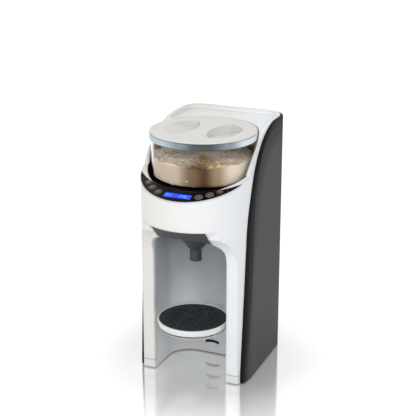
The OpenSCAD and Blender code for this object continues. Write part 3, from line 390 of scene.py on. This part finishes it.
def clear_plastic(name, colour, rough):
    s = Shader(name)
    base = linear(colour)
    s.link(s.ramp(s.noise(12.0), [(0.3, shade(base, 0.985)), (0.7, shade(base, 1.0))]),
           s.main.inputs["Base Color"])
    fine = s.noise(300.0, 2.0)
    s.link(s.spread(fine, rough, rough + 0.02), s.main.inputs["Roughness"])
    s.put("Transmission Weight", 1.0)
    s.put("IOR", 1.12)
    s.relief(fine, 0.01, 0.00005)
    return s


clear_container = clear_plastic("clear_container_plastic", "f6f1ea", 0.03)
clear_tank = clear_plastic("clear_tank_plastic", "d5e4ec", 0.06)

lcd = Shader("display_glass")
lcd_tone = lcd.ramp(lcd.spread(lcd.axis("X"), 0.0, 1.0, -0.021, 0.021),
                    [(0.0, linear("2456f4")), (0.5, linear("2544ee")), (1.0, linear("2a50f0"))])
lcd.link(lcd_tone, lcd.main.inputs["Base Color"])
lcd.link(lcd_tone, lcd.main.inputs["Emission Color"])
lcd.put("Emission Strength", 0.55)
lcd.link(lcd.spread(lcd.noise(200.0), 0.1, 0.16), lcd.main.inputs["Roughness"])
lcd.put("Specular IOR Level", 0.2)

for part, look in {
    "rubber_feet": foot_rubber, "base_band": band_white, "front_shell": shell, "bay_liner": liner,
    "left_side_cover": cover, "right_side_cover": cover, "rear_frame": frame_dark,
    "control_panel": panel, "display": lcd, "button_power": button_face,
    "button_start": button_face, "button_water": button_face, "button_left_1": button_face,
    "button_left_2": button_face, "button_left_3": button_face, "circuit_board": board_green,
    "powder_container": clear_container, "container_band": band, "container_lid": lid,
    "dosing_wheel": inner_cream, "stirrer": inner_cream, "outlet_plate": inner_grey,
    "container_platform": panel, "drive_gear": inner_cream, "motor_pinion": brass,
    "gear_motor": motor_paint, "funnel_carrier": carrier_dark, "mixing_funnel": funnel_dark,
    "bottle_stand": stand, "drip_mat": mat, "water_tank": clear_tank, "tank_cap": cap_grey,
    "tank_valve": valve_rubber, "valve_spring": spring_steel, "valve_seat": seat_dark,
    "water_pump": pump_dark, "water_heater": heater_metal, "water_tubes": tube_silicone,
    "power_inlet": inlet_black, "screws": steel,
}.items():
    dress(part, look)

# ---------------------------------------------------------------- powder

# the clear container, in metres
GLASS_FLOOR_Z = 0.312
GLASS_TOP_Z = 0.372
GLASS_BEND = 0.007
GLASS_BEND_IN = GLASS_BEND - 0.0022
GLASS_LOW_R = 0.0752
GLASS_TOP_R = 0.0763

# the powder in it, resting round and on the dosing wheel
POWDER_GAP = 0.0003
POWDER_LEVEL = 0.3455
POWDER_TILT = 0.02
POWDER_RIM_Z = 0.346
POWDER_FLOOR = 0.3147
WHEEL_TOP = 0.3236
WHEEL_R = 0.0676
POWDER_UNDER = [(WHEEL_R, POWDER_FLOOR), (WHEEL_R, WHEEL_TOP), (0.030, WHEEL_TOP)]


def powder_wall(z):
    """Radius just inside the container's wall at a height."""
    bend_z = GLASS_FLOOR_Z + GLASS_BEND
    if z < bend_z:
        sink = min(1.0, (bend_z - z) / GLASS_BEND_IN)
        return GLASS_LOW_R - GLASS_BEND_IN + GLASS_BEND_IN * math.sqrt(1 - sink ** 2) - POWDER_GAP
    return GLASS_LOW_R + (GLASS_TOP_R - GLASS_LOW_R) * share(z, (bend_z, GLASS_TOP_Z)) - POWDER_GAP


def powder_top(x, y):
    """Height of the powder's lumpy top."""
    p = Vector((x, y, 0.0))
    swell = noise.noise(p * 24.0) * 0.0032 + noise.noise(p * 60.0 + Vector((3, 5, 1))) * 0.0022
    lumps = abs(noise.noise(p * 150.0 + Vector((7, 1, 2)))) * 0.0042
    crumbs = abs(noise.noise(p * 330.0 + Vector((1, 9, 4)))) * 0.0020
    return POWDER_LEVEL + POWDER_TILT * (y - CONTAINER_Y) + swell + lumps + crumbs


def powder_mesh():
    """The powder as one closed mesh: its top, its side along the wall, and its underside."""
    sides, rings, rows = 220, 46, 13
    rim_r = powder_wall(POWDER_RIM_Z)
    bm = bmesh.new()
    grid = []
    for i in range(sides):
        a = 2 * math.pi * i / sides
        ux, uy = math.sin(a), -math.cos(a)
        radii = [rim_r * k / rings for k in range(1, rings + 1)]
        profile = [(r, powder_top(ux * r, CONTAINER_Y + uy * r)) for r in radii]
        rim_z = profile[-1][1]
        heights = [rim_z + (POWDER_FLOOR - rim_z) * k / rows for k in range(1, rows + 1)]
        profile += [(powder_wall(z), z) for z in heights] + POWDER_UNDER
        grid.append([bm.verts.new((ux * r, CONTAINER_Y + uy * r, z)) for r, z in profile])
    top = bm.verts.new((0.0, CONTAINER_Y, powder_top(0.0, CONTAINER_Y)))
    bottom = bm.verts.new((0.0, CONTAINER_Y, WHEEL_TOP))
    for i in range(sides):
        a, b = grid[i], grid[(i + 1) % sides]
        bm.faces.new((top, a[0], b[0]))
        for k in range(len(a) - 1):
            bm.faces.new((a[k], a[k + 1], b[k + 1], b[k]))
        bm.faces.new((a[-1], bottom, b[-1]))
    bmesh.ops.recalc_face_normals(bm, faces=bm.faces)
    mesh = bpy.data.meshes.new("powder")
    bm.to_mesh(mesh)
    bm.free()
    mesh.shade_smooth()
    return mesh


# smooth tones, greyer to the left as painted shade, with one dark streak in front that is painted
# reflection on browner powder; crumbs on top with a golden patch in front
POWDER_EDGE = (0.3435, 0.3475)
powder = Shader("milk_powder")
turn_angle = powder.spread(powder.angle(0.0, CONTAINER_Y), 0.0, 1.0, -math.pi, math.pi)
# painted reflection and shade on the powder's own cream colour: dark brown at the front, greyer to the
# left, lighter to the right
powder_tone_and_painted_reflection = powder.ramp(turn_angle, [(0.0, linear("e8e2d6")), (0.36, linear("d3cac0")), (0.47, linear("d0c6bb")),
                                (0.53, linear("7d6953")), (0.57, linear("543f2b")),
                                (0.61, linear("a3927c")), (0.66, linear("f0ebe4")),
                                (0.8, linear("e8e2d6")), (1.0, linear("e8e2d6"))])
crumb = powder.noise(260.0, 6.0, 0.65)
golden = powder.ramp(crumb, [(0.34, linear("a3854f")), (0.50, linear("e0c58e")), (0.62, linear("fff3d8"))])
whitish = powder.ramp(crumb, [(0.34, linear("c9bdad")), (0.46, linear("fbf3e8")), (0.56, linear("ffffff"))])
gold_share = powder.ramp(turn_angle, [(0.0, grey(0.0)), (0.49, grey(0.05)), (0.55, grey(1.0)),
                                      (0.62, grey(0.9)), (0.68, grey(0.1)), (1.0, grey(0.0))])
top_tone = powder.mix(gold_share, whitish, golden)
on_top = powder.spread(powder.axis("Z"), 0.0, 1.0, *POWDER_EDGE)
powder.link(powder.mix(on_top, powder_tone_and_painted_reflection, top_tone), powder.main.inputs["Base Color"])
powder.link(powder.spread(crumb, 0.75, 0.95), powder.main.inputs["Roughness"])
powder.put("Specular IOR Level", 0.15)
powder.relief(crumb, 0.5, 0.0008)
piece("powder", powder_mesh(), powder, "container")

# ---------------------------------------------------------------- signs

MM = 0.001
TOP_BAND = 1.2 * MM
STROKE_HALF_THICK = 0.06 * MM


def on_ledge(node, lift):
    """Matrix with its origin above the middle of a node's top, and +Z square to the ledge."""
    mesh = NODES[node].data
    normal = Vector((0.0, -math.sin(LEDGE_SLOPE), math.cos(LEDGE_SLOPE)))
    along = Vector((0.0, math.cos(LEDGE_SLOPE), math.sin(LEDGE_SLOPE)))
    points = [v.co for v in mesh.vertices]
    high = max(p.dot(normal) for p in points)
    top = [p for p in points if p.dot(normal) > high - TOP_BAND]
    x = (min(p.x for p in top) + max(p.x for p in top)) / 2
    y = (min(p.dot(along) for p in top) + max(p.dot(along) for p in top)) / 2
    origin = Vector((x, 0.0, 0.0)) + along * y + normal * (high + lift)
    return Matrix.Translation(origin) @ Matrix.Rotation(LEDGE_SLOPE, 4, "X")


def strokes(name, paths, width, place, dome=0.0):
    """Flat strokes drawn on the ledge, as narrow raised bars; a dome radius lets them follow a cap.

    A path is a list of points with True where it is closed; place is a matrix from on_ledge.
    """
    thick = STROKE_HALF_THICK
    bm = bmesh.new()
    for path, closed in paths:
        n = len(path)
        left, right = [], []
        for i in range(n):
            before = Vector(path[i - 1] if (i > 0 or closed) else path[i])
            after = Vector(path[(i + 1) % n] if (i < n - 1 or closed) else path[i])
            d = (after - before).normalized()
            side = Vector((-d.y, d.x)) * width / 2
            p = Vector(path[i])
            for side_list, q in ((left, p + side), (right, p - side)):
                drop = (q.length ** 2) / (2 * dome) if dome else 0.0
                side_list.append((bm.verts.new(place @ Vector((q.x, q.y, thick - drop))),
                                  bm.verts.new(place @ Vector((q.x, q.y, -thick - drop)))))
        last = n if closed else n - 1
        for i in range(last):
            j = (i + 1) % n
            a, b, c, d = left[i], left[j], right[j], right[i]
            bm.faces.new((a[0], b[0], c[0], d[0]))
            bm.faces.new((d[1], c[1], b[1], a[1]))
            bm.faces.new((b[0], a[0], a[1], b[1]))
            bm.faces.new((d[0], c[0], c[1], d[1]))
        if not closed:
            for k in (0, n - 1):
                bm.faces.new((left[k][0], right[k][0], right[k][1], left[k][1]))
    bmesh.ops.recalc_face_normals(bm, faces=bm.faces)
    mesh = bpy.data.meshes.new(name)
    bm.to_mesh(mesh)
    bm.free()
    return mesh


def arc(r, start, end, n, x=0.0, y=0.0):
    """Points round (x, y) from one angle in degrees to another."""
    turns = [math.radians(start + (end - start) * i / n) for i in range(n + 1)]
    return [(x + r * math.cos(t), y + r * math.sin(t)) for t in turns]


def ring(r, n=40, x=0.0, y=0.0):
    """A closed round path."""
    return (arc(r, 0, 360, n, x, y)[:-1], True)


def bar(x0, y0, x1, y1):
    """A straight path."""
    return ([(x0, y0), (x1, y1)], False)


def scaled(paths, factor):
    return [([(x * factor, y * factor) for x, y in path], closed) for path, closed in paths]


ink = moulded("sign_ink", "a9a39c", 0.5, 0.03, 0.1, 0.0, 0.2)
red_ink = moulded("ring_ink", "6d2a2c", 0.5, 0.05, 0.1, 0.0, 0.2)

# the buttons' round faces, and the signs on them, whose points are in millimetres
BUTTON_R = 6.0 * MM
SMALL_BUTTON_R = 5.28 * MM
SMALL_BUTTONS = ("button_power", "button_left_3")
RINGED_BUTTONS = ("button_power", "button_start", "button_water")
DOME_H = 0.7 * MM
SIGN_SCALE = 1.25
SIGN_LIFT = 0.04 * MM
drop = [(arc(1.4, -220, 40, 20, 0, -0.4) + [(0.0, 2.3)], True)]
signs = {
    # a bowl with steam over a line, a drop, a cup
    "button_left_1": [(arc(1.5, 200, 340, 12, 0, 0.6), False), bar(-2, -1.6, 2, -1.6),
                      bar(-0.7, 0.6, -0.7, 2.1), bar(0.7, 0.6, 0.7, 2.1)],
    "button_left_2": drop,
    "button_left_3": [([(-1.6, 1.6), (1.6, 1.6), (1.1, -1.8), (-1.1, -1.8)], True),
                      bar(-1.3, 0.2, 1.3, 0.2)],
    # an arrowhead, a drop, a power sign
    "button_start": [([(-0.9, 1.4), (1.5, 0.0), (-0.9, -1.4)], True)],
    "button_water": drop,
    "button_power": [(arc(1.6, 120, 420, 24), False), bar(0.0, 0.4, 0.0, 2.1)],
}
for part, paths in signs.items():
    button_r = SMALL_BUTTON_R if part in SMALL_BUTTONS else BUTTON_R
    dome = (button_r ** 2 + DOME_H ** 2) / (2 * DOME_H)
    body = NODES[part]["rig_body"]
    place = on_ledge(part, SIGN_LIFT)
    sign = strokes("sign_" + part, scaled(paths, SIGN_SCALE * MM), 0.5 * MM, place, dome)
    piece("sign_" + part, sign, ink, body)
    if part in RINGED_BUTTONS:
        circle = strokes("ring_" + part, [ring(button_r * 0.87)], 0.4 * MM, place, dome)
        piece("ring_" + part, circle, red_ink if part == "button_power" else ink, body)

# seven-segment digits, in a box 1 wide and 1 tall
SEGMENTS = {"0": "abcdef", "2": "abged", "4": "fgbc"}
SEGMENT_ENDS = {"a": ((0, 1), (1, 1)), "b": ((1, 1), (1, 0.5)), "c": ((1, 0.5), (1, 0)),
                "d": ((0, 0), (1, 0)), "e": ((0, 0.5), (0, 0)), "f": ((0, 1), (0, 0.5)),
                "g": ((0, 0.5), (1, 0.5))}
INSET_ALONG = 0.12
INSET_UP = 0.06


def digit(symbol, x, y, w, h):
    """A digit's segments, each drawn in a little at both ends."""
    out = []
    for s in SEGMENTS[symbol]:
        (x0, y0), (x1, y1) = SEGMENT_ENDS[s]
        dx = INSET_ALONG if x1 > x0 else 0.0
        dy = -INSET_UP if y1 < y0 else 0.0
        out.append(bar(x + w * (x0 + dx), y + h * (y0 + dy), x + w * (x1 - dx), y + h * (y1 - dy)))
    return out


cyan = Shader("display_digits")
cyan_tone = cyan.ramp(cyan.noise(300.0), [(0.3, linear("5fd2ff")), (0.7, linear("7ee2ff"))])
cyan.link(cyan_tone, cyan.main.inputs["Base Color"])
cyan.link(cyan_tone, cyan.main.inputs["Emission Color"])
cyan.put("Emission Strength", 0.35)
cyan.put("Roughness", 0.3)
# three digits right of the middle, and left of it a ring over a short bar and two longer bars, in mm
marks = []
for k, symbol in enumerate("240"):
    marks += digit(symbol, 3.0 + 4.1 * k, -2.6, 2.4, 5.2)
marks += [ring(1.5, 20, -17.0, 0.4), bar(-17.0, -2.6, -17.0, -1.6)]
marks += [bar(-12.5, -1.8, -12.5, 1.4), bar(-10.5, -1.8, -10.5, 2.4)]
digits = strokes("display_digits", scaled(marks, MM), 0.62 * MM, on_ledge("display", 0.05 * MM))
piece("display_digits", digits, cyan, "housing")

# ---------------------------------------------------------------- floor, light

WHITE = (1.0, 1.0, 1.0, 1.0)
FLOOR_HALF = 9.0
floor_mesh = bpy.data.meshes.new("floor")
corners = [(x * FLOOR_HALF, y * FLOOR_HALF, 0.0) for x, y in ((-1, -1), (1, -1), (1, 1), (-1, 1))]
floor_mesh.from_pydata(corners, [], [(0, 1, 2, 3)])
floor = bpy.data.objects.new("floor", floor_mesh)
bpy.context.scene.collection.objects.link(floor)
ground = Shader("white_floor")
ground.link(ground.ramp(ground.noise(0.7), [(0.3, linear("f6f6f6")), (0.7, linear("f8f8f8"))]),
            ground.main.inputs["Base Color"])
ground.put("Roughness", 0.1)
ground.put("Specular IOR Level", 0.5)
# near the object the floor mirrors it, and further out it fades into the white background
away = ground.hypot(ground.axis("X"), ground.axis("Y"))
lift = ground.spread(away, 0.05, 0.40, 0.13, 0.28)
mirror_share = ground.spread(away, 0.55, 0.05, 0.12, 0.34)
mirror = ground.node("ShaderNodeBsdfGlossy")
mirror.inputs["Roughness"].default_value = 0.09
mirror.inputs["Color"].default_value = WHITE
blend = ground.node("ShaderNodeMixShader")
ground.link(mirror_share, blend.inputs[0])
ground.link(ground.main.outputs[0], blend.inputs[1])
ground.link(mirror.outputs[0], blend.inputs[2])
glow = ground.node("ShaderNodeEmission")
glow.inputs["Color"].default_value = WHITE
ground.link(ground.math("MULTIPLY", direct_rays(ground.tree), lift), glow.inputs["Strength"])
both = ground.node("ShaderNodeAddShader")
ground.link(blend.outputs[0], both.inputs[0])
ground.link(glow.outputs[0], both.inputs[1])
ground.link(both.outputs[0], ground.output.inputs["Surface"])
floor_mesh.materials.append(ground.material)

# white to the eye, and dimmer as the light that it gives
WORLD_LIGHT = 0.5
world = bpy.data.worlds.new("studio")
bpy.context.scene.world = world
world.use_nodes = True
tree = world.node_tree
tree.nodes.clear()
world_output = tree.nodes.new("ShaderNodeOutputWorld")
background = tree.nodes.new("ShaderNodeBackground")
background.inputs["Color"].default_value = WHITE
strength = tree.nodes.new("ShaderNodeMapRange")
strength.inputs["To Min"].default_value = WORLD_LIGHT
strength.inputs["To Max"].default_value = 1.0
tree.links.new(direct_rays(tree), strength.inputs["Value"])
tree.links.new(strength.outputs["Result"], background.inputs["Strength"])
tree.links.new(background.outputs[0], world_output.inputs["Surface"])


def softbox(name, place, target, size, power):
    """A rectangular lamp aimed at a point, which reflections don't show."""
    light = bpy.data.lights.new(name, "AREA")
    light.shape = "RECTANGLE"
    light.size, light.size_y = size
    light.energy = power
    o = bpy.data.objects.new(name, light)
    bpy.context.scene.collection.objects.link(o)
    o.location = place
    o.rotation_euler = (Vector(target) - Vector(place)).to_track_quat("-Z", "Y").to_euler()
    o.visible_glossy = False


AIM = (0.0, 0.0, 0.2)
softbox("key", (1.1, -1.9, 1.3), AIM, (1.4, 1.4), 22.0)
softbox("fill", (-1.7, -1.6, 0.8), AIM, (1.5, 1.5), 11.0)
softbox("top", (0.1, 0.1, 2.1), AIM, (1.6, 1.6), 8.5)

bpy.context.scene.view_settings.view_transform = "Standard"
